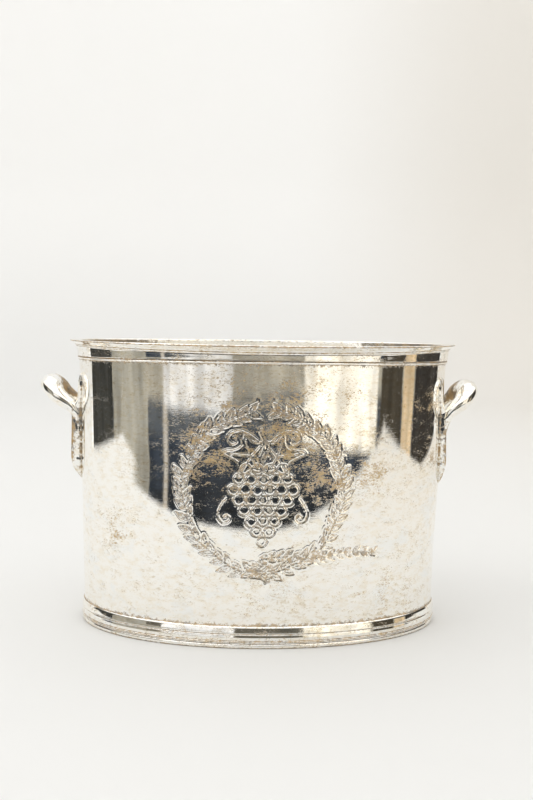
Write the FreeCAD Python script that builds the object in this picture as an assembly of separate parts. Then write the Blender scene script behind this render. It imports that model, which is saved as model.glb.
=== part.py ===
"""Oval silver-plated champagne bucket with two cast loop handles.

Millimetres.  +Z is up, X runs along the long axis (handle to handle), and the
front is at -Y.  The origin is the centre of the foot, on the surface that the
bucket stands on.

The pieces are made as a silversmith makes them.  A rolled oval wall stands on a
base wire and is closed by a flat plate with a turned-down lip.  Drawn mouldings
are soldered round its foot and its mouth.  Each handle is a cast loop between two leaf-ended
mounts, and the mounts are soldered to the wall.
"""
import FreeCAD, Part
import math
import os

Vector = FreeCAD.Vector
OUT_DIR = "parts"

# ---------------------------------------------------------------- driving sizes
HEIGHT = 258.0                # floor to the top of the rim
MOUTH_LENGTH = 338.0          # outside of the wall at the bead, along X
MOUTH_WIDTH = 225.0           # outside of the wall at the bead, along Y
FOOT_LENGTH = 326.5           # outside of the wall above the foot, along X
FOOT_WIDTH = 217.0            # outside of the wall above the foot, along Y
SHEET = 1.2                   # thickness of the wall
HANDLE_REACH = 200.0          # centre of the bucket to the outside of a handle

# ------------------------------------------------------------- heights up the wall
FOOT_WIRE_TOP = 4.0           # the wall stands on the base wire here
FOOT_BAND_TOP = 12.4
FOOT_TOP = 19.5
GROOVE = 0.4                  # gap between the base wire and the foot band
PLATE_TOP = 12.0
PLATE_THICKNESS = 1.5
PLATE_LIP = 6.0               # turned-down edge of the plate
BEAD_BOTTOM = 240.9
COLLAR_BOTTOM = 243.6
RIM_BOTTOM = 251.5
WALL_TOP = HEIGHT - 1.4

# ------------------------------------------------ how far the mouldings stand out
BASE_WIRE_OUT = 1.8
BASE_WIRE_IN = -3.2
BAND_OUT = 1.9
FOOT_CREASE_OUT = 1.1         # the crease between the band and the torus
TORUS_OUT = 2.2
BEAD_OUT = 1.3
COLLAR_FOOT_OUT = 0.9
COLLAR_HEAD_OUT = 1.6
RIM_OUT = 7.6

# ----------------------------------------------------------------- handle sizes
ARM_Y = 23.5                  # centre of each arm, either side of the middle
ARM_ROOT_Z = 196.5
ARM_ROOT_OUT = 8.0            # from the wall to the arm's centre line at its root
ARM_RADIUS = 5.4              # where an arm leaves its mount
JOINT_OUT = 6.5               # from the wall to the flat joint of arm and mount
BAR_Z = 215.0                 # centre of the cross bar
BAR_RADIUS = 9.0
CORNER_RADIUS = 14.0          # centre line, where an arm turns into the cross bar
CORNER_STEPS = 4

# Stations down a mount: height, distance from the middle, width and thickness.
LEAF_TIP = (228.5, 26.5, 1.2, 0.8)
LEAF_UPPER = (223.0, 26.0, 8.0, 2.4)
LEAF_WIDEST = (216.0, 25.3, 12.0, 3.4)
LEAF_NECK = (204.0, 24.2, 8.5, 5.0)
TAIL_HEAD = (193.0, ARM_Y, 8.0, 8.0)
TAIL_MIDDLE = (172.0, 21.5, 7.4, 7.0)
TAIL_NECK = (155.0, 19.0, 6.6, 6.0)
TAIL_LEAF = (146.0, 17.5, 9.5, 5.4)
TAIL_LOWER = (138.0, 16.2, 6.6, 3.8)
TAIL_TIP = (130.5, 15.0, 1.2, 1.0)
MOUNT_STATIONS = (LEAF_TIP, LEAF_UPPER, LEAF_WIDEST, LEAF_NECK, TAIL_HEAD,
                  TAIL_MIDDLE, TAIL_NECK, TAIL_LEAF, TAIL_LOWER, TAIL_TIP)
SECTION_POINTS = 12


# ------------------------------------------------------------------ plan shapes
def wall_axes(z):
    """Half length and half width of the wall's outer face at height z."""
    share = (z - FOOT_TOP) / (BEAD_BOTTOM - FOOT_TOP)
    half_length = (FOOT_LENGTH + share * (MOUTH_LENGTH - FOOT_LENGTH)) / 2
    half_width = (FOOT_WIDTH + share * (MOUTH_WIDTH - FOOT_WIDTH)) / 2
    return half_length, half_width


def oval(z, inset=0.0):
    """Closed oval wire at height z, moved in from the wall's outer face."""
    half_length, half_width = wall_axes(z)
    curve = Part.Ellipse(Vector(0, 0, z), half_length - inset, half_width - inset)
    return Part.Wire([curve.toShape()])


def tapered_oval(bottom, top, inset=0.0):
    """Solid that follows the wall's taper, moved in from its outer face."""
    return Part.makeLoft([oval(bottom, inset), oval(top, inset)], True, True)


def wall_point(y, z):
    """Point on the wall's outer face on the right-hand side, and its angle."""
    half_length, half_width = wall_axes(z)
    x = half_length * math.sqrt(1 - (y / half_width) ** 2)
    angle = math.atan2(y / half_width ** 2, x / half_length ** 2)
    return x, angle


# ------------------------------------------------------------------ oval mouldings
def outline(start, *steps):
    """Closed outline in (out, up) steps: an end point, or (middle, end) for an arc."""
    edges = []
    here = start
    for step in steps + (start,):
        if isinstance(step[0], tuple):
            middle, end = step
            edges.append(Part.Arc(place(here), place(middle), place(end)).toShape())
        else:
            end = step
            edges.append(Part.makeLine(place(here), place(end)))
        here = end
    return Part.Wire(edges)


def place(point):
    """An (out, up) point in the plane that a moulding's sweep starts from."""
    out, up = point
    return Vector(wall_axes(up)[0] + out, 0, up)


def moulding(profile, z):
    """Sweep a profile round the wall's oval at height z."""
    return oval(z).makePipeShell([profile], True, True)


def fitted(ring, bottom, top):
    """Cut away what lies inside the wall's outer face."""
    core = tapered_oval(bottom - 1, top + 1)
    return biggest(ring.cut(core))


def biggest(shape):
    """The largest solid of a shape."""
    return max(shape.Solids, key=lambda solid: solid.Volume)


# ------------------------------------------------------------------ body pieces
def body_wall():
    """Tapered oval tube of sheet, open at both ends."""
    outer = tapered_oval(FOOT_WIRE_TOP, WALL_TOP)
    inner = tapered_oval(FOOT_WIRE_TOP - 1, WALL_TOP + 1, SHEET)
    return outer.cut(inner)


def base_plate():
    """Flat oval plate with a turned-down lip that is soldered inside the wall."""
    blank = tapered_oval(PLATE_TOP - PLATE_LIP, PLATE_TOP, SHEET)
    hollow = tapered_oval(0, PLATE_TOP - PLATE_THICKNESS, SHEET + PLATE_THICKNESS)
    return blank.cut(hollow)


def foot_base_wire():
    """Wire that the bucket stands on, filed flat underneath."""
    corner = 0.6
    waste = 1.0
    profile = outline(
        (BASE_WIRE_IN, corner),
        (BASE_WIRE_IN + corner, 0),
        (BASE_WIRE_IN + corner, -waste),
        (BASE_WIRE_OUT - 2 * corner, -waste),
        (BASE_WIRE_OUT - 2 * corner, 0),
        ((BASE_WIRE_OUT, FOOT_WIRE_TOP / 2), (BASE_WIRE_OUT - 2 * corner, FOOT_WIRE_TOP)),
        (BASE_WIRE_IN, FOOT_WIRE_TOP))
    above_floor = slab(-HANDLE_REACH, HANDLE_REACH)
    return biggest(moulding(profile, 0).common(above_floor))


def foot_band():
    """Upright strip with a fine rib low down and a slope that closes its top."""
    bottom = FOOT_WIRE_TOP + GROOVE
    fine_rib = 6.2
    fine_rib_half = 0.4
    fine_rib_proud = 0.3
    slope_bottom = 9.4
    slope_middle = (1.65, 11.0)
    profile = outline(
        (-SHEET, bottom),
        (BAND_OUT, bottom),
        (BAND_OUT, fine_rib - fine_rib_half),
        ((BAND_OUT + fine_rib_proud, fine_rib), (BAND_OUT, fine_rib + fine_rib_half)),
        (BAND_OUT, slope_bottom),
        (slope_middle, (FOOT_CREASE_OUT, FOOT_BAND_TOP)),
        (-SHEET, FOOT_BAND_TOP))
    return fitted(moulding(profile, bottom), bottom, FOOT_BAND_TOP)


def foot_torus():
    """Moulding that swells out of the crease and slopes in to meet the wall."""
    widest = 14.0
    swell_middle = (1.85, 12.9)
    slope_middle = (1.7, 16.6)
    edge = 0.5
    profile = outline(
        (-SHEET, FOOT_BAND_TOP),
        (FOOT_CREASE_OUT, FOOT_BAND_TOP),
        (swell_middle, (TORUS_OUT, widest)),
        (slope_middle, (edge, FOOT_TOP)),
        (-SHEET, FOOT_TOP))
    return fitted(moulding(profile, FOOT_BAND_TOP), FOOT_BAND_TOP, FOOT_TOP)


def mouth_bead():
    """Half-round wire that marks the lower edge of the mouth mouldings."""
    top = COLLAR_BOTTOM
    profile = outline(
        (-SHEET, BEAD_BOTTOM),
        (0, BEAD_BOTTOM),
        ((BEAD_OUT, (BEAD_BOTTOM + top) / 2), (0, top)),
        (-SHEET, top))
    return fitted(moulding(profile, BEAD_BOTTOM), BEAD_BOTTOM, top)


def mouth_collar():
    """Nearly upright strip between the bead and the rim."""
    bottom = COLLAR_BOTTOM
    profile = outline(
        (-SHEET, bottom),
        (COLLAR_FOOT_OUT, bottom),
        (COLLAR_HEAD_OUT, RIM_BOTTOM),
        (-SHEET, RIM_BOTTOM))
    return fitted(moulding(profile, bottom), bottom, RIM_BOTTOM)


def rim():
    """Flared lip with a rounded edge, rebated to cap the top edge of the wall."""
    edge_radius = 0.9
    flare_middle = (4.1, 254.3)
    inner_corner = (-0.84, HEIGHT - 0.4)
    profile = outline(
        (0, RIM_BOTTOM),
        (COLLAR_HEAD_OUT, RIM_BOTTOM),
        (flare_middle, (RIM_OUT - edge_radius, HEIGHT - 2 * edge_radius)),
        ((RIM_OUT, HEIGHT - edge_radius), (RIM_OUT - edge_radius, HEIGHT)),
        (0, HEIGHT),
        (inner_corner, (-SHEET, WALL_TOP)),
        (0, WALL_TOP))
    return moulding(profile, RIM_BOTTOM)


# ---------------------------------------------------------------- handle pieces
def rounded_section(centre, across, along, half_across, half_along):
    """Smooth closed wire round a centre, with its two half sizes."""
    points = []
    for index in range(SECTION_POINTS):
        turn = 2 * math.pi * index / SECTION_POINTS
        points.append(centre + across * (half_across * math.cos(turn))
                      + along * (half_along * math.sin(turn)))
    curve = Part.BSplineCurve()
    curve.interpolate(Points=points, PeriodicFlag=True)
    return Part.Wire([curve.toShape()])


def body_core():
    """Everything inside the wall's outer face, between the foot and the bead."""
    return tapered_oval(FOOT_TOP, BEAD_BOTTOM)


def front_mount():
    """Leaf, neck and long tail that lie on the wall at one end of the left loop."""
    sections = []
    for height, along, width, thickness in MOUNT_STATIONS:
        x, angle = wall_point(along, height)
        outward = Vector(-math.cos(angle), -math.sin(angle), 0)
        sideways = Vector(0, 0, 1).cross(outward)
        centre = Vector(-x, -along, height)
        sections.append(rounded_section(centre, outward, sideways, thickness, width / 2))
    blank = Part.makeLoft(sections, True, False)
    outside_joint = slab(-HANDLE_REACH - BAR_RADIUS, -joint_x())
    return biggest(blank.cut(body_core()).cut(outside_joint))


def joint_x():
    """Distance from the middle to the flat faces where arms meet their mounts."""
    return wall_point(ARM_Y, ARM_ROOT_Z)[0] + JOINT_OUT


def slab(x_low, x_high):
    """Block as wide and high as the bucket, between two distances along X."""
    size = Vector(x_high - x_low, MOUTH_WIDTH, HEIGHT)
    return Part.makeBox(size.x, size.y, size.z, Vector(x_low, -size.y / 2, 0))


def half_loop():
    """Centre points and radii from the front arm's end to the middle of the bar."""
    root = wall_point(ARM_Y, ARM_ROOT_Z)[0] + ARM_ROOT_OUT
    bar = HANDLE_REACH - BAR_RADIUS
    corner = bar - CORNER_RADIUS
    plan = [(root, ARM_Y), ((root + corner) / 2, ARM_Y)]
    for step in range(CORNER_STEPS + 1):
        turn = math.pi / 2 * step / CORNER_STEPS
        plan.append((corner + CORNER_RADIUS * math.sin(turn),
                     ARM_Y - CORNER_RADIUS * (1 - math.cos(turn))))
    plan.append((bar, 0.0))
    lead = ARM_ROOT_OUT
    stations = [(Vector(lead - root, -ARM_Y, ARM_ROOT_Z - lead), ARM_RADIUS)]
    for outward, along in plan:
        share = (outward - root) / (bar - root)
        height = ARM_ROOT_Z + (BAR_Z - ARM_ROOT_Z) * share
        radius = ARM_RADIUS + (BAR_RADIUS - ARM_RADIUS) * math.sin(share * math.pi / 2)
        stations.append((Vector(-outward, -along, height), radius))
    return stations


def left_loop():
    """Cast loop: two rising arms that swell into a round cross bar."""
    half = half_loop()
    mirrored = [(Vector(point.x, -point.y, point.z), radius) for point, radius in half[:-1]]
    stations = half + mirrored[::-1]
    last = len(stations) - 1
    sections = []
    for index, (point, radius) in enumerate(stations):
        before = stations[max(index - 1, 0)][0]
        after = stations[min(index + 1, last)][0]
        tangent = (after - before).normalize()
        across = tangent.cross(Vector(0, 0, 1)).normalize()
        up = across.cross(tangent)
        sections.append(rounded_section(point, across, up, radius, radius))
    blank = Part.makeLoft(sections, True, False)
    return biggest(blank.cut(slab(-joint_x(), 0)))


def to_back(shape):
    return shape.mirror(Vector(0, 0, 0), Vector(0, 1, 0))


def to_right(shape):
    return shape.mirror(Vector(0, 0, 0), Vector(1, 0, 0))


# ------------------------------------------------------------------------ output
def export(name, shape):
    shape.exportStep(os.path.join(OUT_DIR, name + ".step"))
    print("%-26s %9.0f mm3  valid %s  solids %d"
          % (name, shape.Volume, shape.isValid(), len(shape.Solids)))


def main():
    os.makedirs(OUT_DIR, exist_ok=True)
    export("body_wall", body_wall())
    export("base_plate", base_plate())
    export("foot_base_wire", foot_base_wire())
    export("foot_band", foot_band())
    export("foot_torus", foot_torus())
    export("mouth_bead", mouth_bead())
    export("mouth_collar", mouth_collar())
    export("rim", rim())
    mount_front = front_mount()
    mount_back = to_back(mount_front)
    handle = {
        "mount_front": mount_front,
        "mount_back": mount_back,
        "loop": left_loop()}
    for name, shape in handle.items():
        export("handle_left_" + name, shape)
        export("handle_right_" + name, to_right(shape))


main()
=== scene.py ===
import math

import bmesh
import bpy
import numpy as np
from mathutils import Matrix, Vector


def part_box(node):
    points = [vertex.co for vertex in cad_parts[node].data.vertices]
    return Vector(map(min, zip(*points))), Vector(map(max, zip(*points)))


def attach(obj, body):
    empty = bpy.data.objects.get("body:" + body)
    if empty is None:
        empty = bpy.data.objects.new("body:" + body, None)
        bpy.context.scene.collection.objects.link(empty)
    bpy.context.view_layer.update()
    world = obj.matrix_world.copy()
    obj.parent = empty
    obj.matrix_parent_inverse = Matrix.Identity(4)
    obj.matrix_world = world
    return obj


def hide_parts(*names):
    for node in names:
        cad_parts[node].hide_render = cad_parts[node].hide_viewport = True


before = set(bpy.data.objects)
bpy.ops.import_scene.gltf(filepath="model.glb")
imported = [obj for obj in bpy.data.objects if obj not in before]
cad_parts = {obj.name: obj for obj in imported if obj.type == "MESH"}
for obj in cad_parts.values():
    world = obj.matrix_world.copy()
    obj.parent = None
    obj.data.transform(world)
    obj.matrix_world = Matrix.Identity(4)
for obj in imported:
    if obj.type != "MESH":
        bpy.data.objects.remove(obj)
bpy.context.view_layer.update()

MM = 0.001


# ------------------------------------------------------------------ sizes of the frame
def node_box(node):
    """A node's lowest and highest corners, in millimetres."""
    low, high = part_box(node)
    return np.array(low) / MM, np.array(high) / MM


WALL_LOW, WALL_HIGH = node_box("body_wall")
PLATE_LOW, PLATE_HIGH = node_box("base_plate")
WIRE_TOP = node_box("foot_base_wire")[1][2]
BAND_LOW, BAND_HIGH = node_box("foot_band")
TORUS_LOW, TORUS_HIGH = node_box("foot_torus")
BEAD_LOW, BEAD_HIGH = node_box("mouth_bead")
COLLAR_LOW, COLLAR_HIGH = node_box("mouth_collar")
RIM_LOW, RIM_HIGH = node_box("rim")
LOOP_REACH = node_box("handle_right_loop")[1][0]

SHEET = 1.2                 # thickness of the wall
FLOOR_THICKNESS = 1.5
FLOOR_DISH = 0.5            # how far the floor sinks at its middle
SUNK = -0.2                 # the mouldings start this far inside the wall's face
WIRE_INSIDE = -3.2          # the base wire also reaches under the wall
LEAN = -1.3                 # the hand-raised body leans this far to one side at its foot
MOUTH_SPREAD = 0.006        # share by which the mouth is drawn out lengthwise
ROUND_STEPS = 420           # columns of a moulding, all the way round
LEFT, RIGHT = -1, 1
FRONT, BACK = -1, 1


def half_axes(z):
    """Half length and half width of the wall's outer face at height z."""
    low = PLATE_HIGH[:2] + SHEET
    high = WALL_HIGH[:2]
    share = (np.asarray(z, float) - PLATE_HIGH[2]) / (WALL_HIGH[2] - PLATE_HIGH[2])
    return low[0] + share * (high[0] - low[0]), low[1] + share * (high[1] - low[1])


def wall_normals(x, y, z):
    """Level unit vectors that point straight out of the wall."""
    a, b = half_axes(z)
    normal = np.column_stack([x / a ** 2, y / b ** 2])
    return normal / np.linalg.norm(normal, axis=1, keepdims=True)


def wall_points(turns, z, out):
    """Points beside the wall's outer face, for turns round the oval at one height."""
    a, b = half_axes(z)
    x, y = a * np.cos(turns), b * np.sin(turns)
    normal = wall_normals(x, y, z)
    return np.column_stack([x + normal[:, 0] * out, y + normal[:, 1] * out,
                            np.full(len(turns), float(z))])


def settle(points):
    """Slight unevenness that every piece of the hand-raised body shares."""
    settled = np.array(points, float)
    x, y, z = settled.T
    turn = np.arctan2(y * 1.5, x)
    down = 1 - z / RIM_HIGH[2]
    ripple = 0.25 * np.sin(2 * turn + 0.6) + 0.2 * np.sin(3 * turn + 2.1)
    ripple += 0.12 * np.sin(5 * turn)
    settled[:, 0] *= 1 + MOUTH_SPREAD * (z / RIM_HIGH[2]) ** 2
    settled[:, 0] += ripple * np.cos(turn) + LEAN * down
    settled[:, 1] += ripple * np.sin(turn)
    settled[:, 2] += mouth_bow(turn, z)
    return settled


def mouth_bow(turn, z):
    """How far the mouth's mouldings are bent up or down from level."""
    levels = (BEAD_LOW[2] - 12, BEAD_LOW[2], COLLAR_LOW[2], RIM_LOW[2], RIM_HIGH[2])
    rise = np.interp(z, levels, (0.0, 0.65, 0.65, 0.75, 0.65))
    bend = np.interp(z, levels, (0.0, -0.95, -0.95, 1.25, 0.0))
    sag = np.interp(z, levels, (0.0, 0.0, 0.0, 0.8, 1.7))
    return rise + bend * np.cos(2 * turn) - sag * np.clip(np.sin(turn), 0, 1)


# --------------------------------------------------------------------- building meshes
def mesh_piece(name, points, faces, material, nodes, values=None):
    """A smooth-shaded piece from points in millimetres, standing for CAD nodes."""
    mesh = bpy.data.meshes.new(name)
    mesh.from_pydata((np.asarray(points) * MM).tolist(), [], faces)
    shape = bmesh.new()
    shape.from_mesh(mesh)
    bmesh.ops.recalc_face_normals(shape, faces=shape.faces)
    shape.to_mesh(mesh)
    shape.free()
    mesh.shade_smooth()
    for key, numbers in (values or {}).items():
        layer = mesh.attributes.new(key, "FLOAT", "POINT")
        layer.data.foreach_set("value", np.asarray(numbers, dtype=np.float32))
    mesh.materials.append(material)
    piece = bpy.data.objects.new(name, mesh)
    bpy.context.collection.objects.link(piece)
    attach(piece, "root")
    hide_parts(*nodes)
    return piece


def grid_faces(rows, columns, close_rows=False, close_columns=True):
    """Quads of a grid of points stored row by row."""
    faces = []
    for row in range(rows if close_rows else rows - 1):
        above = (row + 1) % rows
        for column in range(columns if close_columns else columns - 1):
            beside = (column + 1) % columns
            faces.append((row * columns + column, row * columns + beside,
                          above * columns + beside, above * columns + column))
    return faces


def end_faces(around, total):
    """The two faces that close the first and last ring of a tube."""
    return [tuple(range(around)), tuple(range(total - around, total))]


def spline(points, per_span, closed=False):
    """Catmull-Rom curve through points. A point given twice in a row stays sharp."""
    points = np.array(points, float)
    count = len(points)
    curve = []
    for index in range(count if closed else count - 1):
        steps = [(index + step) % count if closed else min(max(index + step, 0), count - 1)
                 for step in (-1, 0, 1, 2)]
        p0, p1, p2, p3 = points[steps]
        if np.allclose(p1, p2):
            continue
        p0 = 2 * p1 - p2 if np.allclose(p0, p1) else p0
        p3 = 2 * p2 - p1 if np.allclose(p2, p3) else p3
        for t in np.arange(per_span) / per_span:
            curve.append(0.5 * (2 * p1 + (p2 - p0) * t + (2 * p0 - 5 * p1 + 4 * p2 - p3) * t ** 2
                                + (3 * p1 - p0 - 3 * p2 + p3) * t ** 3))
    if not closed:
        curve.append(points[-1])
    return np.array(curve)


def crevice(outline, places, reach):
    """Dirt and painted shade that fade with distance from places on an outline."""
    dirt_and_shade = np.zeros(len(outline))
    for place in places:
        distance = np.linalg.norm(outline - np.array(place), axis=1)
        dirt_and_shade = np.maximum(dirt_and_shade, np.exp(-(distance / reach) ** 2))
    return dirt_and_shade


def end_flare(turns, out, up):
    """How much farther the collar and rim lean out at the two ends of the oval."""
    levels = (COLLAR_LOW[2], COLLAR_HIGH[2], RIM_HIGH[2])
    share = np.interp(up, levels, (0, 1, 0.15)) * min(max(out, 0), 1)
    return out + 1.2 * share * np.cos(turns) ** 2


def ring_piece(name, node, points, material, dirt_and_shade_places=(), reach=0.8):
    """Sweep a closed (out, up) outline round the oval, with dirt and painted shade near some
    places.
    """
    outline = spline(points, 5, closed=True)
    turns = np.linspace(0, 2 * math.pi, ROUND_STEPS, endpoint=False)
    rows = [wall_points(turns, up, end_flare(turns, out, up)) for out, up in outline]
    faces = grid_faces(len(outline), ROUND_STEPS, close_rows=True)
    values = {"dirt_and_shade": np.repeat(crevice(outline, dirt_and_shade_places, reach), ROUND_STEPS),
              "wear": np.full(len(outline) * ROUND_STEPS, 0.5)}
    return mesh_piece(name, settle(np.concatenate(rows)), faces, material, [node],
                      values)


# -------------------------------------------------------------------- chased ornament
DESIGN_CENTRE = np.array([-1.5, 135.0])
WREATH_RADIUS = 68.5
LEAF_STEP = 9.2             # between the leaves of the wreath, along its stem
LEAF_LENGTH = 12.0
LEAF_WIDTH = 4.6
BERRY_RADIUS = 5.0
LINE_DEPTH = 0.36
LINE_WIDTH = 0.62
WOBBLE = 0.2                # unsteadiness of the hand-worked lines
NO_LINE_NEAR = 9.0          # a distance beyond the reach of any groove or of its dirt and painted shade


def placed(stroke, angle, origin):
    """A stroke turned about its own zero and moved to origin."""
    c, s = math.cos(angle), math.sin(angle)
    return np.asarray(stroke) @ np.array([[c, s], [-s, c]]) + origin


def leaf_strokes(origin, angle, length, width):
    """A plain pointed leaf: two curved edges and a short midrib."""
    along = np.linspace(0, 1, 8)
    bulge = np.sin(math.pi * along ** 0.8) * width / 2
    edge = np.column_stack([along * length, bulge])
    rib = np.column_stack([along[2:6] * length, 0 * along[2:6]])
    return [placed(stroke, angle, origin) for stroke in (edge, edge * (1, -1), rib)]


def branch_strokes(stem, headings, rng, size=1.0):
    """A stem with leaves that spring from it to each side in turn."""
    strokes = [stem]
    for point, heading in zip(stem, headings):
        for side in (LEFT, RIGHT):
            tilt = heading + side * rng.uniform(0.5, 0.72)
            length = LEAF_LENGTH * size * rng.uniform(0.85, 1.1)
            strokes += leaf_strokes(point, tilt, length, LEAF_WIDTH * size)
    return strokes


def wreath_strokes(rng):
    """Two leafy branches that cross at the bottom and part at the top."""
    strokes = []
    for side in (LEFT, RIGHT):
        travel = np.arange(-0.16, math.pi - 0.08, LEAF_STEP / WREATH_RADIUS)
        angles = -math.pi / 2 + side * travel
        radius = WREATH_RADIUS + 1.4 * np.sin(travel * 9 + side)
        stem = DESIGN_CENTRE + np.column_stack([radius * np.cos(angles),
                                                radius * np.sin(angles)])
        strokes += branch_strokes(stem, angles + side * math.pi / 2, rng)
    return strokes


def sprig_strokes(rng):
    """A small leafy sprig beside the foot of the wreath."""
    across = np.linspace(-4, 92, 14)
    stem = np.column_stack([across, 78 + 1.6 * np.sin(across / 9) + across * 0.04])
    return branch_strokes(stem, np.full(len(stem), 0.05), rng, size=0.62)


def bunch_strokes(rng):
    """A hanging bunch of berries that narrows to a single one."""
    strokes = []
    around = np.linspace(0, 2 * math.pi, 15)
    for row, count in enumerate((4, 5, 6, 5, 4, 3, 2, 1)):
        for index in range(count):
            offset = ((index - (count - 1) / 2) * BERRY_RADIUS * 2.05,
                      20 - row * BERRY_RADIUS * 1.78)
            centre = DESIGN_CENTRE + np.array(offset) + rng.uniform(-0.5, 0.5, 2)
            radius = BERRY_RADIUS * rng.uniform(0.84, 0.96)
            strokes.append(centre + radius * np.column_stack([np.cos(around),
                                                              np.sin(around)]))
    return strokes


def vine_leaf_strokes(origin, angle, size):
    """A leaf of five pointed lobes with its veins, growing from origin."""
    lobes = np.array([-2.2, -1.15, 0.0, 1.15, 2.2])
    reaches = size * np.array([0.62, 0.86, 1.0, 0.86, 0.62])
    middle = np.array([0.25 * size, 0.0])
    tips = middle + reaches[:, None] * np.column_stack([np.cos(lobes), np.sin(lobes)])
    notches = (lobes[:-1] + lobes[1:]) / 2
    notches = middle + 0.5 * size * np.column_stack([np.cos(notches), np.sin(notches)])
    outline = [(0.0, 0.0)]
    for index, tip in enumerate(tips):
        outline += [tip] if index == len(notches) else [tip, notches[index]]
    edge = spline(outline + [(0.0, 0.0)], 5)
    strokes = [placed(edge, angle, origin)]
    for tip in tips:
        vein = np.array([middle, middle + 0.72 * (tip - middle)])
        strokes.append(placed(vein, angle, origin))
    return strokes


def tendril_stroke(origin, side, heading, length):
    """A thin shoot that leaves origin and curls up more and more tightly."""
    run = np.linspace(0, 1, 34)
    turned = heading - 6.6 * run ** 2.2
    step = length / len(run) * (1 - 0.45 * run)
    return origin + np.cumsum(np.column_stack([side * step * np.cos(turned),
                                               step * np.sin(turned)]), axis=0)


def vine_strokes():
    """Stalk, two vine leaves and four tendrils above and beside the bunch."""
    top = DESIGN_CENTRE + np.array([0.0, 30.0])
    sway = np.linspace(0, 1, 9)
    strokes = [top + np.column_stack([3 * np.sin(5 * sway), 24 * sway]) + shift
               for shift in ((-1.1, 0), (1.1, 0))]
    for side, heading in ((LEFT, math.pi - 0.1), (RIGHT, 0.1)):
        strokes += vine_leaf_strokes(top + (side * 5, 0), heading, 24.0)
        strokes.append(tendril_stroke(top + (side * 4, 12), side, 0.7, 62.0))
        strokes.append(tendril_stroke(DESIGN_CENTRE + (side * 30.0, -4.0), side, -0.9, 52.0))
    return strokes


def chased_lines():
    """Every stroke of the front's ornament, in millimetres across and up the wall."""
    rng = np.random.default_rng(7)
    strokes = wreath_strokes(rng) + sprig_strokes(rng) + bunch_strokes(rng) + vine_strokes()
    return [stroke + rng.normal(0, WOBBLE, stroke.shape) for stroke in strokes]


def distance_to_lines(across, up, strokes):
    """Shortest distance from each point to the strokes, up to a short reach."""
    reach = 4.0
    nearest = np.full(len(across), reach)
    for stroke in strokes:
        low, high = stroke.min(axis=0) - reach, stroke.max(axis=0) + reach
        near = np.flatnonzero((across > low[0]) & (across < high[0])
                              & (up > low[1]) & (up < high[1]))
        if not len(near):
            continue
        points = np.column_stack([across[near], up[near]])
        for start, end in zip(stroke[:-1], stroke[1:]):
            run = end - start
            share = np.clip((points - start) @ run / max(run @ run, 1e-9), 0, 1)
            gap = np.linalg.norm(points - start - share[:, None] * run, axis=1)
            nearest[near] = np.minimum(nearest[near], gap)
    return nearest


def chased_depth(distance):
    """A punched groove with a raised lip on each side."""
    groove = -np.exp(-(distance / LINE_WIDTH) ** 2)
    lip = 0.35 * np.exp(-((distance - 1.9 * LINE_WIDTH) / (0.8 * LINE_WIDTH)) ** 2)
    return LINE_DEPTH * (groove + lip)


# ------------------------------------------------------------------------- body pieces
DESIGN_LEFT, DESIGN_RIGHT = -82.0, 104.0    # the finely divided part of the front
DESIGN_LOW, DESIGN_HIGH = 58.0, 212.0
FINE_STEP = 0.7

# Places where the plate is worn through: across, up, radius and strength.
WORN_PLACES = (
    (0, 222, 60, 0.5), (-40, 150, 26, 0.5), (48, 148, 24, 0.8), (20, 180, 26, 0.7),
    (72, 220, 12, 0.6), (98, 152, 22, 0.7), (146, 205, 16, 1.0), (150, 165, 14, 0.8),
    (-126, 92, 16, 0.7), (-60, 175, 30, 0.5), (110, 40, 34, 0.4), (10, 60, 50, 0.2))
PLAIN_WEAR = 0.22           # wear away from those places
BACK_WEAR = 0.35            # how strong they are on the back, next to the front

# Dents in the front: across, up, radius and how far the sheet stands out there.
DENTS = ((-118, 150, 20, -0.30), (96, 118, 26, -0.25), (-30, 60, 30, -0.15),
         (150, 70, 30, -0.8), (60, 222, 22, 0.12))

LINE_DIRT_AND_SHADE, LINE_DIRT_AND_SHADE_REACH = 0.72, 0.9      # strongest dirt and painted shade in a chased line, and its reach
CREASE_DIRT_AND_SHADE, CREASE_DIRT_AND_SHADE_REACH = 0.8, 1.6   # the same where the wall meets a moulding


def wall_turns():
    """Columns of the wall: fine across the ornament, wider round the rest."""
    start = -math.pi / 2 + math.asin(DESIGN_LEFT / WALL_HIGH[0])
    end = -math.pi / 2 + math.asin(DESIGN_RIGHT / WALL_HIGH[0])
    fine = int((DESIGN_RIGHT - DESIGN_LEFT) / FINE_STEP)
    front = np.linspace(start, end, fine)
    rest = np.linspace(end, start + 2 * math.pi, 92)[1:-1]
    return np.concatenate([front, rest])


def wall_heights():
    """Rows of the wall's outer face: fine across the ornament."""
    low = np.linspace(WALL_LOW[2], DESIGN_LOW, 14, endpoint=False)
    middle = np.arange(DESIGN_LOW, DESIGN_HIGH, FINE_STEP)
    high = np.linspace(DESIGN_HIGH, WALL_HIGH[2], 13)
    return np.concatenate([low, middle, high])


def near_place(points, across, up, reach):
    """1 at a place on the wall, fading to 0 beyond its reach."""
    gap = ((points[:, 0] - across) ** 2 + (points[:, 2] - up) ** 2) / reach ** 2
    return np.exp(-gap)


def dents(points):
    """Shallow dents and long waves in the sheet, in millimetres outwards."""
    x, y, z = points.T
    waves = 0.05 * np.sin(x / 19 + z / 37) + 0.06 * np.sin(z / 29 - x / 43 + 1)
    waves += 0.014 * np.sin(x / 5.3 + 1.4 * np.sin(z / 23)) + 0.012 * np.sin(z / 7.1 + x / 31)
    for across, up, reach, depth in DENTS:
        waves += np.where(y < 0, depth * near_place(points, across, up, reach), 0)
    return waves


def wear_of(points):
    """How worn the plate is at each point of the wall."""
    wear = np.full(len(points), PLAIN_WEAR)
    for across, up, reach, strength in WORN_PLACES:
        here = np.where(points[:, 1] < 0, strength, BACK_WEAR * strength)
        wear += here * near_place(points, across, up, reach)
    return wear


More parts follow.
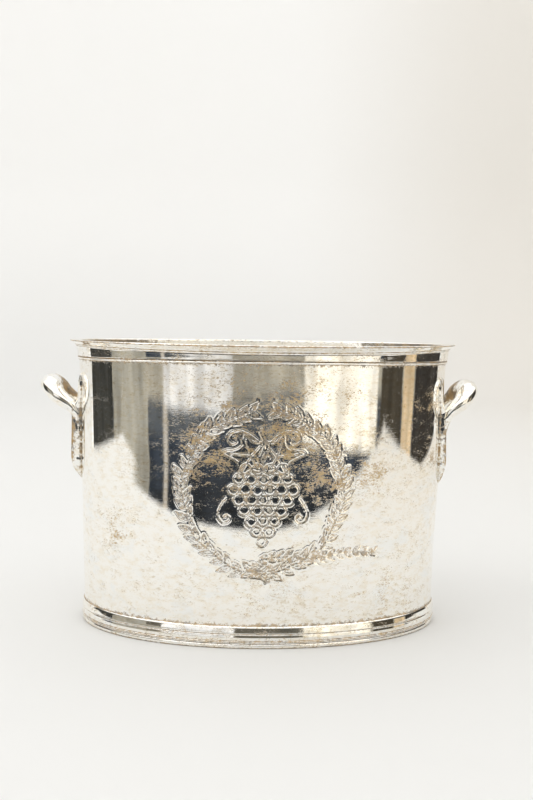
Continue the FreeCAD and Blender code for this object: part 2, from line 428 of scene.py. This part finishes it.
def wall_dirt_and_shade(points, distance):
    """Dirt and painted shade held by the chased lines and where the wall meets the foot and the
    bead.
    """
    foot = np.exp(-(points[:, 2] - TORUS_HIGH[2]).clip(0) / CREASE_DIRT_AND_SHADE_REACH)
    mouth = np.exp(-(BEAD_LOW[2] - points[:, 2]).clip(0) / CREASE_DIRT_AND_SHADE_REACH)
    lines = np.exp(-(distance / LINE_DIRT_AND_SHADE_REACH) ** 2)
    return np.maximum(LINE_DIRT_AND_SHADE * lines, CREASE_DIRT_AND_SHADE * np.maximum(foot, mouth))


def inner_tarnish_and_shade(points):
    """Brown tarnish and painted shade under the rim, inside, towards the two ends."""
    ends = np.clip((np.abs(points[:, 0]) - 80) / 60, 0, 1)
    under_rim = np.clip((points[:, 2] - 240) / 10, 0, 1)
    return 0.2 + 0.75 * ends * under_rim


def inner_rows():
    """Heights of the inner face's rows, from the mouth down.

    A row close to each edge keeps the edge's shading off the rest of the face.
    """
    close = 0.4
    high, low = WALL_HIGH[2], WALL_LOW[2]
    return np.concatenate([[high], np.linspace(high - close, 232, 4),
                           np.linspace(226, low + close, 5), [low]])


def wall_shell(material):
    """The rolled sheet, with its dents, chased ornament, and dirt and painted shade in the
    lines.
    """
    turns = wall_turns()
    heights = wall_heights()
    inner_heights = inner_rows()
    outer = np.concatenate([wall_points(turns, z, 0) for z in heights])
    inner = np.concatenate([wall_points(turns, z, -SHEET) for z in inner_heights])
    distance = np.full(len(outer), NO_LINE_NEAR)
    front = np.flatnonzero(outer[:, 1] < 0)
    distance[front] = distance_to_lines(outer[front, 0], outer[front, 2], chased_lines())
    shift = chased_depth(distance) + dents(outer)
    outer[:, :2] += wall_normals(*outer.T) * shift[:, None]
    points = settle(np.concatenate([outer, inner]))
    faces = grid_faces(len(heights) + len(inner_heights), len(turns), close_rows=True)
    values = {"dirt_and_shade": np.concatenate([wall_dirt_and_shade(outer, distance), inner_tarnish_and_shade(inner)]),
              "wear": np.concatenate([wear_of(outer), np.full(len(inner), -1.0)])}
    return mesh_piece("wall_shell", points, faces, material, ["body_wall"], values)


def floor_pan(material):
    """The plate, gently dished, with its turned-down lip."""
    turns = np.linspace(0, 2 * math.pi, 240, endpoint=False)
    top, bottom = PLATE_HIGH[2], PLATE_LOW[2]
    a, b = half_axes(top)
    section = [(share, top - FLOOR_DISH * (1 - share ** 2))
               for share in np.linspace(0.03, 0.97, 14)]
    section += [(0.99, top - 0.1), (1.0, top - 0.6), (1.0, bottom + 0.3), (0.998, bottom)]
    section += [(0.985, bottom), (0.982, bottom + 0.4), (0.982, top - FLOOR_THICKNESS)]
    section += [(share, top - FLOOR_THICKNESS - FLOOR_DISH * (1 - share ** 2))
                for share in np.linspace(0.96, 0.03, 12)]
    rows = [np.column_stack([share * (a - SHEET) * np.cos(turns),
                             share * (b - SHEET) * np.sin(turns),
                             np.full(len(turns), z)]) for share, z in section]
    points = np.concatenate(rows)
    faces = grid_faces(len(section), len(turns)) + end_faces(len(turns), len(points))
    edge = np.repeat([0.9 * share ** 40 for share, z in section], len(turns))
    values = {"dirt_and_shade": edge, "wear": np.full(len(points), 0.8)}
    return mesh_piece("floor_pan", settle(points), faces, material, ["base_plate"],
                      values)


def sharp(point):
    """A corner of an outline: spline() keeps a doubled point sharp."""
    return [point, point]


def foot_pieces(material):
    """Base wire, ribbed strip and rounded moulding, each from its (out, up) outline."""
    wire = [*sharp((WIRE_INSIDE, 0.5)), (-2.7, 0), (0.4, 0), (1.5, 0.6), (1.8, 2.0),
            (1.5, 3.4), (0.6, WIRE_TOP), *sharp((WIRE_INSIDE, WIRE_TOP))]
    ring_piece("foot_wire", "foot_base_wire", wire, material,
               [(0.6, WIRE_TOP), (1.5, 0.2)], 0.9)
    low, top = BAND_LOW[2], BAND_HIGH[2]
    band = [*sharp((SUNK, low)), (1.5, low), (1.85, low + 0.3), (1.9, low + 1.3),
            (2.2, low + 1.8), (1.9, low + 2.3), (1.9, top - 3.2), (1.84, top - 2.6),
            (1.54, top - 1.3), (1.38, top - 0.6), *sharp((1.0, top)), *sharp((SUNK, top))]
    ring_piece("foot_strip", "foot_band", band, material,
               [(1.4, low), (1.9, low + 1.2), (1.9, low + 2.4), (1.0, top)], 0.5)
    low, top = TORUS_LOW[2], TORUS_HIGH[2]
    torus = [*sharp((SUNK, low)), *sharp((1.0, low)), (1.5, low + 0.3), (2.0, low + 0.7),
             (2.2, low + 1.1), (2.1, low + 1.6), (1.93, low + 2.4), (1.7, low + 3.4),
             (1.46, low + 4.4), (1.2, low + 5.4), (0.85, low + 6.2), *sharp((0.3, top)),
             *sharp((SUNK, top))]
    ring_piece("foot_roll", "foot_torus", torus, material,
               [(1.0, low), (0.3, top)], 0.55)


def mouth_pieces(material):
    """Bead, nearly upright collar and flared lip, each from its (out, up) outline."""
    low, top = BEAD_LOW[2], BEAD_HIGH[2]
    bead = [*sharp((SUNK, low)), (0.4, low + 0.1), (1.1, low + 0.7), (1.35, (low + top) / 2),
            (1.1, top - 0.7), (0.4, top - 0.1), *sharp((SUNK, top))]
    ring_piece("bead_wire", "mouth_bead", bead, material,
               [(0.6, low + 0.2), (0.7, top - 0.3)], 0.75)
    low, top = COLLAR_LOW[2], COLLAR_HIGH[2]
    collar = [*sharp((SUNK, low)), *sharp((0.6, low)), (1.1, low + 0.4), (1.08, low + 2.5),
              (1.08, low + 5.0), (1.1, top - 0.6), *sharp((1.35, top)), *sharp((SUNK, top))]
    ring_piece("collar_strip", "mouth_collar", collar, material,
               [(1.0, low + 0.1), (1.2, top)], 0.6)
    low, top = RIM_LOW[2], RIM_HIGH[2]
    rim = [*sharp((0, low)), *sharp((1.5, low)), (1.9, low + 0.7), (2.8, low + 1.8),
           (4.0, low + 2.9), (5.3, low + 3.9), (6.2, low + 4.6), (6.8, low + 5.1),
           (6.9, low + 5.6), (6.6, low + 6.2), (6.0, top), (3.0, top - 0.05),
           (0.0, top - 0.2), (-0.9, top - 0.5), (-SHEET, top - 1.2),
           *sharp((-SHEET, top - 2.0)), *sharp((0, top - 2.0))]
    ring_piece("rim_roll", "rim", rim, material,
               [(6.9, low + 5.6), (2.3, low + 1.3)], 0.65)


# ----------------------------------------------------------------------- handle pieces
ARM_Y = 23.5
BAR_RADIUS = 9.0
BAR_Z = 216.5
ROOT_Z = 196.5
# The two castings differ: how much thicker the mounts are, how much farther the bar
# reaches, and how far the whole handle sits along the wall from the middle.
THICKER = {LEFT: 2.4, RIGHT: -0.4}
LONGER = {LEFT: 3.6, RIGHT: -0.6}
ALONG = {LEFT: 8.0, RIGHT: -5.0}


def side_word(side):
    """The word that node and piece names use for a side."""
    return "left" if side == LEFT else "right"


def wall_x(y, z):
    """Distance of the wall's outer face from the middle, at one width and height."""
    a, b = half_axes(z)
    return a * math.sqrt(1 - (y / b) ** 2)


def loop_stations():
    """Centre line of half a loop, from inside its mount to the middle of the bar.

    Each station is the distance out, distance from the middle, height and radius.
    """
    reach = LOOP_REACH - BAR_RADIUS
    root = wall_x(ARM_Y, ROOT_Z)
    return np.array([
        (root + 2.6, 22.6, 179.0, 2.2), (root + 3.4, 23.0, 186.0, 3.1),
        (root + 5.0, ARM_Y, 192.0, 4.4), (root + 8.4, ARM_Y, 197.6, 5.7),
        (root + 13.4, ARM_Y, 202.2, 6.7), (root + 18.6, 22.3, 206.8, 7.7),
        (reach - 4.6, 18.6, 212.2, 8.6), (reach - 1.2, 12.5, 215.6, 8.9),
        (reach, 6.0, BAR_Z, 9.0), (reach, 0.0, BAR_Z, 9.0)])


def loop_piece(side, name, material):
    """Two rising arms that swell into a round cross bar, as one tapering tube."""
    half = loop_stations()
    other = half[:-1][::-1] * np.array([1, -1, 1, 1])
    path = spline(np.concatenate([half, other]), 7)
    along = ALONG[side]
    reached = (path[:, 0] - half[0, 0]) / (half[-1, 0] - half[0, 0])
    path[:, 0] += THICKER[side] + LONGER[side] * reached
    line = path[:, :3] * (side, 1, 1) + (0, along, 0)
    around = 44
    points = tube(line, path[:, 3], around)
    faces = grid_faces(len(path), around) + end_faces(around, len(points))
    # Painted shade on the loop's inner side, deepest on the far arm; also darker low down where
    # the loop enters its mount.
    low = np.clip((ROOT_Z + 6 - np.repeat(path[:, 2], around)) / 16, 0, 1)
    inner = np.abs(points[:, 0]) < np.abs(np.repeat(line[:, 0], around)) - 1.5
    far = np.clip((points[:, 1] - along) / 12, 0, 1)
    values = {"dirt_and_shade": np.maximum(0.6 * low, np.where(inner, 0.3 + 0.6 * far, 0.0)),
              "wear": np.full(len(points), 0.25)}
    return mesh_piece(name, points, faces, material, ["handle_%s_loop" % side_word(side)],
                      values)


def tube(path, radii, around):
    """Rings of points round a path."""
    tangents = np.gradient(path, axis=0)
    tangents /= np.linalg.norm(tangents, axis=1, keepdims=True)
    across = np.cross(tangents, [0, 0, 1.0])
    across /= np.linalg.norm(across, axis=1, keepdims=True)
    upward = np.cross(across, tangents)
    turn = np.linspace(0, 2 * math.pi, around, endpoint=False)
    flat = across[:, None] * np.cos(turn)[None, :, None]
    tall = upward[:, None] * np.sin(turn)[None, :, None]
    return (path[:, None] + (flat + tall) * radii[:, None, None]).reshape(-1, 3)


# Stations down a mount: height, distance from the middle, width, thickness and how
# deeply the leaf there is hollowed.
MOUNT_STATIONS = (
    (228.5, 32.0, 0.6, 0.4, 0.0), (225.5, 31.5, 3.0, 1.2, 0.3), (221.0, 30.6, 5.4, 1.9, 0.9),
    (215.5, 29.3, 6.6, 2.1, 1.0), (209.5, 27.8, 6.2, 2.2, 0.8), (203.5, 25.8, 5.4, 2.9, 0.2),
    (197.5, 23.9, 5.0, 4.8, 0.0), (191.0, 23.2, 4.8, 5.6, 0.0), (182.0, 22.4, 4.6, 5.9, 0.0),
    (172.0, 21.4, 4.4, 6.25, 0.0), (162.0, 20.1, 4.4, 6.6, 0.0), (155.0, 19.0, 4.6, 6.85, 0.1),
    (150.5, 18.2, 5.4, 6.9, 0.2), (146.0, 17.5, 6.2, 6.5, 0.4), (140.5, 16.6, 6.0, 5.2, 0.4),
    (135.0, 15.7, 3.8, 3.1, 0.2), (130.5, 15.0, 0.8, 0.6, 0.0))


def mount_piece(side, end, name, material):
    """Leaf, neck and long tail on the wall, hollowed in the leaves."""
    stations = spline(MOUNT_STATIONS, 6)
    around = np.linspace(-1, 1, 25)
    lift = np.sqrt(1 - np.abs(around) ** 2)
    sunk = -1.4
    rows = []
    dirt_and_shade = []
    for z, along, width, thickness, hollow in stations:
        y = end * along + ALONG[side]
        a, b = half_axes(z)
        x = wall_x(y, z)
        outward = np.array([side * x / a ** 2, y / b ** 2, 0])
        outward /= np.linalg.norm(outward)
        sideways = np.cross([0, 0, 1.0], outward)
        groove = 1 - 0.34 * hollow * np.exp(-((np.abs(around) - 0.42) / 0.2) ** 2)
        out = (thickness + THICKER[side] * min(1, (thickness / 5) ** 2)) * lift * groove
        out[0] = out[-1] = sunk
        rows.append(np.array([side * x, y, z]) + sideways * (around * width / 2)[:, None]
                    + outward * out[:, None])
        # Painted shade along the edges that meet the wall; also darker in the hollows of the
        # leaves and down the middle of each tail.
        tail = np.clip((ROOT_Z - z) / 8, 0, 1) * (1 - hollow)
        dirt_and_shade.append(np.maximum.reduce([0.9 * np.abs(around) ** 10, 0.8 * hollow * (1 - groove),
                                       0.95 * tail * lift ** 1.5]))
    points = settle(np.concatenate(rows))
    columns = len(around)
    faces = grid_faces(len(stations), columns) + end_faces(columns, len(points))
    values = {"dirt_and_shade": np.concatenate(dirt_and_shade), "wear": np.full(len(points), 0.2)}
    node = "handle_%s_mount_%s" % (side_word(side), "front" if end == FRONT else "back")
    return mesh_piece(name, points, faces, material, [node], values)


# --------------------------------------------------------------------------- materials
class Nodes:
    """A few short calls that build a material's node tree."""

    def __init__(self, name):
        self.material = bpy.data.materials.new(name)
        self.material.use_nodes = True
        self.tree = self.material.node_tree
        self.shader = self.tree.nodes["Principled BSDF"]

    def add(self, kind, inputs=None, **settings):
        made = self.tree.nodes.new(kind)
        for key, value in settings.items():
            setattr(made, key, value)
        for key, value in (inputs or {}).items():
            self.feed(made.inputs[key], value)
        return made

    def feed(self, socket, value):
        if isinstance(value, bpy.types.NodeSocket):
            self.tree.links.new(value, socket)
        else:
            socket.default_value = value

    def noise(self, place, scale, detail=4.0, roughness=0.6, distortion=0.0):
        made = self.add("ShaderNodeTexNoise", {
            "Vector": place, "Scale": scale, "Detail": detail,
            "Roughness": roughness, "Distortion": distortion})
        return made.outputs["Fac"]

    def stretched(self, place, scale):
        return self.add("ShaderNodeVectorMath", {0: place, 1: scale},
                        operation="MULTIPLY").outputs[0]

    def band(self, value, low, high, top=1.0):
        made = self.add("ShaderNodeMapRange", {
            "Value": value, "From Min": low, "From Max": high, "To Min": 0.0, "To Max": top})
        made.interpolation_type = "SMOOTHSTEP"
        return made.outputs["Result"]

    def math(self, operation, first, second):
        return self.add("ShaderNodeMath", {0: first, 1: second}, operation=operation).outputs[0]

    def mix(self, share, first, second):
        made = self.add("ShaderNodeMix", data_type="RGBA")
        self.feed(made.inputs["Factor"], share)
        self.feed(made.inputs["A"], first)
        self.feed(made.inputs["B"], second)
        return made.outputs["Result"]

    def value(self, name):
        return self.add("ShaderNodeAttribute", attribute_name=name).outputs["Fac"]


SILVER = (0.965, 0.945, 0.90, 1)
CREAM_SILVER = (0.90, 0.84, 0.73, 1)
BLUE_SILVER = (0.80, 0.87, 0.94, 1)
DULL_SILVER = (0.68, 0.59, 0.44, 1)
GOLD_BROWN = (0.42, 0.25, 0.07, 1)
OCHRE = (0.50, 0.34, 0.13, 1)
DARK_BROWN = (0.15, 0.095, 0.04, 1)


def dull_patches(n, place, flat, wear):
    """Where the plate has gone dull: the raw pattern and the share it covers."""
    broad = n.math("SUBTRACT", n.noise(place, 24, 4, 0.6), 0.5)
    dull = n.math("ADD", n.noise(flat, 220, 5, 0.7, 0.6), n.math("MULTIPLY", broad, 0.5))
    return dull, n.band(n.math("ADD", dull, n.math("MULTIPLY", wear, 0.05)), 0.57, 0.74, 0.8)


def bare_flecks(n, flat, wear, share):
    """Small clustered flecks where the brass shows, denser where the plate is worn."""
    spots = n.noise(flat, 520, 5, 0.75, 0.5)
    cluster = n.math("MULTIPLY", n.math("SUBTRACT", n.noise(flat, 64, 5, 0.65), 0.5), 0.75)
    bias = n.math("ADD", n.math("MULTIPLY", wear, 0.13), cluster)
    flecks = n.band(n.math("ADD", spots, bias), 0.64, 0.73, share)
    return n.math("MULTIPLY", flecks, n.math("ADD", 0.35, n.band(wear, 0.25, 0.75, 0.65)))


def plate_roughness(n, place, roughness, haze, dulled, flecks, grime_and_shade):
    """Hazy silver, made rougher by dull patches, bare flecks, and grime with painted shade."""
    rough = n.math("ADD", roughness, n.band(n.noise(place, 34, 5, 0.65), 0.45, 0.68, haze))
    for cover, amount in ((dulled, 0.05), (flecks, 0.35), (grime_and_shade, 0.45)):
        rough = n.math("ADD", rough, n.math("MULTIPLY", cover, amount))
    return rough


def plate_bump(n, place, dull, flecks):
    """Fine scratches along the wall, with the flecks eaten slightly in."""
    fine = n.noise(n.stretched(place, (0.16, 0.16, 3.0)), 900, 3, 0.7)
    long_lines = n.noise(n.stretched(place, (0.10, 0.10, 7.0)), 200, 4, 0.8)
    height = n.math("ADD", n.math("MULTIPLY", fine, 0.25), n.math("MULTIPLY", long_lines, 0.45))
    height = n.math("SUBTRACT", height, n.math("MULTIPLY", flecks, 0.5))
    height = n.math("ADD", height, n.math("MULTIPLY", dull, 0.3))
    return n.add("ShaderNodeBump", {"Height": height, "Strength": 0.25, "Distance": 0.00005})


def worn_plate(name, roughness, haze, fleck_share, grime_and_shade_share):
    """Worn silver plate: creamy mottling, brassy flecks, fine scratches, and grime that also
    carries painted shade.
    """
    n = Nodes(name)
    place = n.add("ShaderNodeTexCoord").outputs["Object"]
    flat = n.stretched(place, (0.9, 0.9, 1.7))
    dirt_and_shade, wear = n.value("dirt_and_shade"), n.value("wear")
    dull, dulled = dull_patches(n, place, flat, wear)
    flecks = bare_flecks(n, flat, wear, fleck_share)
    # The mesh attribute read above brings painted shade, as well as dirt, into this dark brown
    # mask.
    crumbs_and_shade = n.math("ADD", n.noise(place, 330, 5, 0.7), n.math("MULTIPLY", dirt_and_shade, 0.42))
    grime_and_shade = n.band(crumbs_and_shade, 0.68, 0.84, grime_and_shade_share)
    cream = n.band(n.noise(flat, 130, 7, 0.72), 0.44, 0.66)
    film = n.band(n.noise(flat, 38, 5, 0.65, 0.5), 0.52, 0.64, 0.22)
    tone = n.band(n.noise(place, 130, 3), 0.36, 0.6)
    colour = n.mix(cream, SILVER, CREAM_SILVER)
    colour = n.mix(film, colour, BLUE_SILVER)
    colour = n.mix(dulled, colour, DULL_SILVER)
    colour = n.mix(flecks, colour, n.mix(tone, GOLD_BROWN, OCHRE))
    colour = n.mix(grime_and_shade, colour, n.mix(tone, DARK_BROWN, GOLD_BROWN))
    clear_of_flecks = n.math("SUBTRACT", 1.0, n.math("MULTIPLY", flecks, 0.8))
    clear_of_grime_and_shade = n.math("SUBTRACT", 1.0, n.math("MULTIPLY", grime_and_shade, 0.8))
    rough = plate_roughness(n, place, roughness, haze, dulled, flecks, grime_and_shade)
    n.feed(n.shader.inputs["Base Color"], colour)
    n.feed(n.shader.inputs["Metallic"], n.math("MULTIPLY", clear_of_flecks, clear_of_grime_and_shade))
    n.feed(n.shader.inputs["Roughness"], rough)
    n.feed(n.shader.inputs["Normal"], plate_bump(n, place, dull, flecks).outputs["Normal"])
    return n.material


def studio_paper(name):
    """White paper, a little greyer on the floor, with painted shade that makes it darker and
    warmer to the right.
    """
    n = Nodes(name)
    place = n.add("ShaderNodeTexCoord").outputs["Object"]
    parts = n.add("ShaderNodeSeparateXYZ", {"Vector": place}).outputs
    colour = n.mix(n.band(parts["Z"], 0.0, 0.8), FLOOR_WHITE, STUDIO_WHITE)
    # Painted shade: the paper turns darker and warmer towards the right.
    colour = n.mix(n.band(parts["X"], 0.15, 1.1, 0.8), colour, PAINTED_SHADE_WHITE)
    n.feed(n.shader.inputs["Base Color"], colour)
    n.feed(n.shader.inputs["Roughness"], 0.9)
    n.feed(n.shader.inputs["Specular IOR Level"], 0.1)
    return n.material


def glowing(name, colour):
    """A softly blotched surface that gives its own light."""
    n = Nodes(name)
    place = n.add("ShaderNodeTexCoord").outputs["Object"]
    blotch = n.band(n.noise(place, 2.6, 4, 0.6, 0.4), 0.34, 0.66)
    darker = tuple(0.72 * part for part in colour[:3]) + (1,)
    lighter = tuple(1.2 * part for part in colour[:3]) + (1,)
    n.feed(n.shader.inputs["Emission Color"], n.mix(blotch, darker, lighter))
    n.feed(n.shader.inputs["Base Color"], (0, 0, 0, 1))
    n.feed(n.shader.inputs["Specular IOR Level"], 0.0)
    n.feed(n.shader.inputs["Emission Strength"], 1.0)
    return n.material


# ------------------------------------------------------------------------------- stage
STUDIO_WHITE = (0.96, 0.96, 0.955, 1)
FLOOR_WHITE = (0.805, 0.805, 0.795, 1)
PAINTED_SHADE_WHITE = (0.80, 0.77, 0.72, 1)
ROOM_RADIUS = 3.0
SWEEP_RADIUS = 3.4
SWEEP_BEND = 0.8            # radius of the bend between the paper's floor and wall
SKY_STRENGTH = 1.30
KEY_POWER = 6
CAMERA_PLACE = (-0.0375, -1.034, 0.289)
CAMERA_YAW, CAMERA_PITCH, CAMERA_ROLL = 2.28, 4.70, 0.90    # in degrees


def stage_mesh(name, points, faces, material, seen=True, mirrored=True):
    """A stage surface that the camera sees, the silver reflects, or both."""
    mesh = bpy.data.meshes.new(name)
    mesh.from_pydata([tuple(point) for point in points], [], faces)
    mesh.shade_smooth()
    mesh.materials.append(material)
    made = bpy.data.objects.new(name, mesh)
    bpy.context.collection.objects.link(made)
    made.visible_camera = seen
    made.visible_glossy = mirrored
    made.visible_diffuse = seen
    made.visible_shadow = seen
    return made


def sector(radii_heights, start, end, steps):
    """Points and faces of a lathe surface between two azimuths, in degrees."""
    turns = np.radians(np.linspace(start, end, steps))
    points = [(radius * math.sin(turn), -radius * math.cos(turn), height)
              for radius, height in radii_heights for turn in turns]
    return points, grid_faces(len(radii_heights), steps, close_columns=False)


ROOM_LEFT, ROOM_RIGHT = -113.0, 121.0       # azimuths between which the room is dark


def make_studio():
    """A white table and a paper sweep. The silver does not see the sweep's front."""
    white = studio_paper("studio_white")
    table = [(-1.30, -0.36, 0), (1.30, -0.72, 0), (1.02, 0.10, 0), (1.30, 0.78, 0),
             (3.2, 1.9, 0), (3.2, 3.3, 0), (-3.2, 3.3, 0), (-3.2, 1.35, 0), (-1.15, 0.49, 0)]
    stage_mesh("table_top", table, [tuple(range(len(table)))], white)
    flat = SWEEP_RADIUS - SWEEP_BEND
    bend = [(flat + SWEEP_BEND * math.sin(a), SWEEP_BEND - SWEEP_BEND * math.cos(a))
            for a in np.radians(np.linspace(0, 90, 10))]
    profile = [(0.02, -0.001), (flat - 0.01, -0.001)] + bend + [(SWEEP_RADIUS, 3.4)]
    points, faces = sector(profile, ROOM_LEFT, ROOM_RIGHT, 60)
    stage_mesh("sweep_front", points, faces, white, mirrored=False)
    points, faces = sector(profile, ROOM_RIGHT, 360 + ROOM_LEFT, 60)
    stage_mesh("sweep_back", points, faces, white)


# Cards that only the silver reflects: azimuth from and to, bottom and top height, colour.
ROOM_CARDS = (
    ("shade_floor", ROOM_LEFT, ROOM_RIGHT, -1.30, -0.42, (0.034, 0.038, 0.044)),
    ("shade_low", ROOM_LEFT, ROOM_RIGHT, -0.42, -0.24, (0.048, 0.058, 0.075)),
    ("shade_middle", ROOM_LEFT, ROOM_RIGHT, -0.24, -0.12, (0.11, 0.12, 0.13)),
    ("shade_high", ROOM_LEFT, ROOM_RIGHT, -0.12, 0.25, (0.45, 0.42, 0.35)),
    ("shade_upper", ROOM_LEFT, ROOM_RIGHT, 0.25, 1.0, (0.14, 0.13, 0.105)),
    ("shade_top", ROOM_LEFT, ROOM_RIGHT, 1.0, 1.2, (0.45, 0.43, 0.40)))
ROOM_THINGS = (
    ("wall_left", -84, -56, -0.60, 0.70, (0.42, 0.40, 0.34)),
    ("strip_left", -46.5, -44.5, -0.60, -0.12, (0.50, 0.46, 0.40)),
    ("glow", -46, -12, -0.14, 0.12, (0.86, 0.85, 0.83)),
    ("glow_upper", -46, -9.5, 0.25, 1.1, (0.95, 0.95, 0.95)),
    ("strip_middle", 2.0, 5.2, -0.62, -0.24, (0.60, 0.56, 0.48)),
    ("panel", 18, 56, -0.30, 0.25, (1.16, 1.10, 0.97)),
    ("panel_upper", 20.5, 57, 0.25, 1.1, (1.16, 1.10, 0.95)),
    ("shade_right", 58, 74, -0.80, 0.85, (0.07, 0.06, 0.045)),
    ("post", 75, 85, -0.42, 0.20, (0.80, 0.62, 0.40)),
    ("shade_side", 86, ROOM_RIGHT, -0.80, 0.85, (0.05, 0.045, 0.04)),
    ("shade_left", ROOM_LEFT, -85, -0.80, 0.85, (0.055, 0.055, 0.05)))


def make_room():
    """The cards round the table: broad shades, with nearer things before them."""
    for cards, radius in ((ROOM_CARDS, ROOM_RADIUS), (ROOM_THINGS, ROOM_RADIUS * 0.97)):
        for name, start, end, low, high, colour in cards:
            steps = max(2, int((end - start) / 4))
            points, faces = sector([(radius, low), (radius, high)], start, end, steps)
            stage_mesh(name, points, faces, glowing(name, colour + (1,)), seen=False)


def make_light():
    """A white sky and one broad lamp from the upper left."""
    world = bpy.data.worlds.new("studio_sky")
    world.use_nodes = True
    world.node_tree.nodes["Background"].inputs["Color"].default_value = (1.0, 0.998, 0.99, 1)
    world.node_tree.nodes["Background"].inputs["Strength"].default_value = SKY_STRENGTH
    bpy.context.scene.world = world
    lamp = bpy.data.lights.new("key", "AREA")
    lamp.shape = "RECTANGLE"
    lamp.size = 1.6
    lamp.size_y = 1.2
    lamp.energy = KEY_POWER
    key = bpy.data.objects.new("key", lamp)
    key.location = (-1.5, -0.6, 2.0)
    key.rotation_euler = (Vector((0, 0, 0.1)) - key.location).to_track_quat("-Z", "Y").to_euler()
    bpy.context.collection.objects.link(key)
    bpy.context.scene.view_settings.view_transform = "Standard"


def make_camera():
    """The photograph's viewing angle: nearly level, from just above the rim."""
    yaw, pitch, roll = (math.radians(angle)
                        for angle in (CAMERA_YAW, CAMERA_PITCH, CAMERA_ROLL))
    ahead = Vector((math.sin(yaw) * math.cos(pitch), math.cos(yaw) * math.cos(pitch),
                    -math.sin(pitch)))
    side = Vector((math.cos(yaw), -math.sin(yaw), 0))
    above = side.cross(ahead)
    right = side * math.cos(roll) + above * math.sin(roll)
    upward = above * math.cos(roll) - side * math.sin(roll)
    turn = Matrix((right, upward, -ahead)).transposed().to_4x4()
    data = bpy.data.cameras.new("camera")
    data.lens = 50
    data.sensor_width = 36
    camera = bpy.data.objects.new("camera", data)
    camera.matrix_world = Matrix.Translation(CAMERA_PLACE) @ turn
    bpy.context.collection.objects.link(camera)
    bpy.context.scene.camera = camera


make_camera()
make_light()
make_studio()
make_room()
wall_silver = worn_plate("wall_silver", roughness=0.012, haze=0.03,
                         fleck_share=0.85, grime_and_shade_share=0.7)
moulding_silver = worn_plate("moulding_silver", roughness=0.02, haze=0.04,
                             fleck_share=0.7, grime_and_shade_share=0.85)
cast_silver = worn_plate("cast_silver", roughness=0.03, haze=0.04,
                         fleck_share=0.5, grime_and_shade_share=0.85)
floor_silver = worn_plate("floor_silver", roughness=0.16, haze=0.12,
                          fleck_share=0.9, grime_and_shade_share=0.9)
wall_shell(wall_silver)
floor_pan(floor_silver)
foot_pieces(moulding_silver)
mouth_pieces(moulding_silver)
for side in (LEFT, RIGHT):
    loop_piece(side, "loop_" + side_word(side), cast_silver)
    for end, end_word in ((FRONT, "front"), (BACK, "back")):
        mount_piece(side, end, "mount_%s_%s" % (side_word(side), end_word), cast_silver)
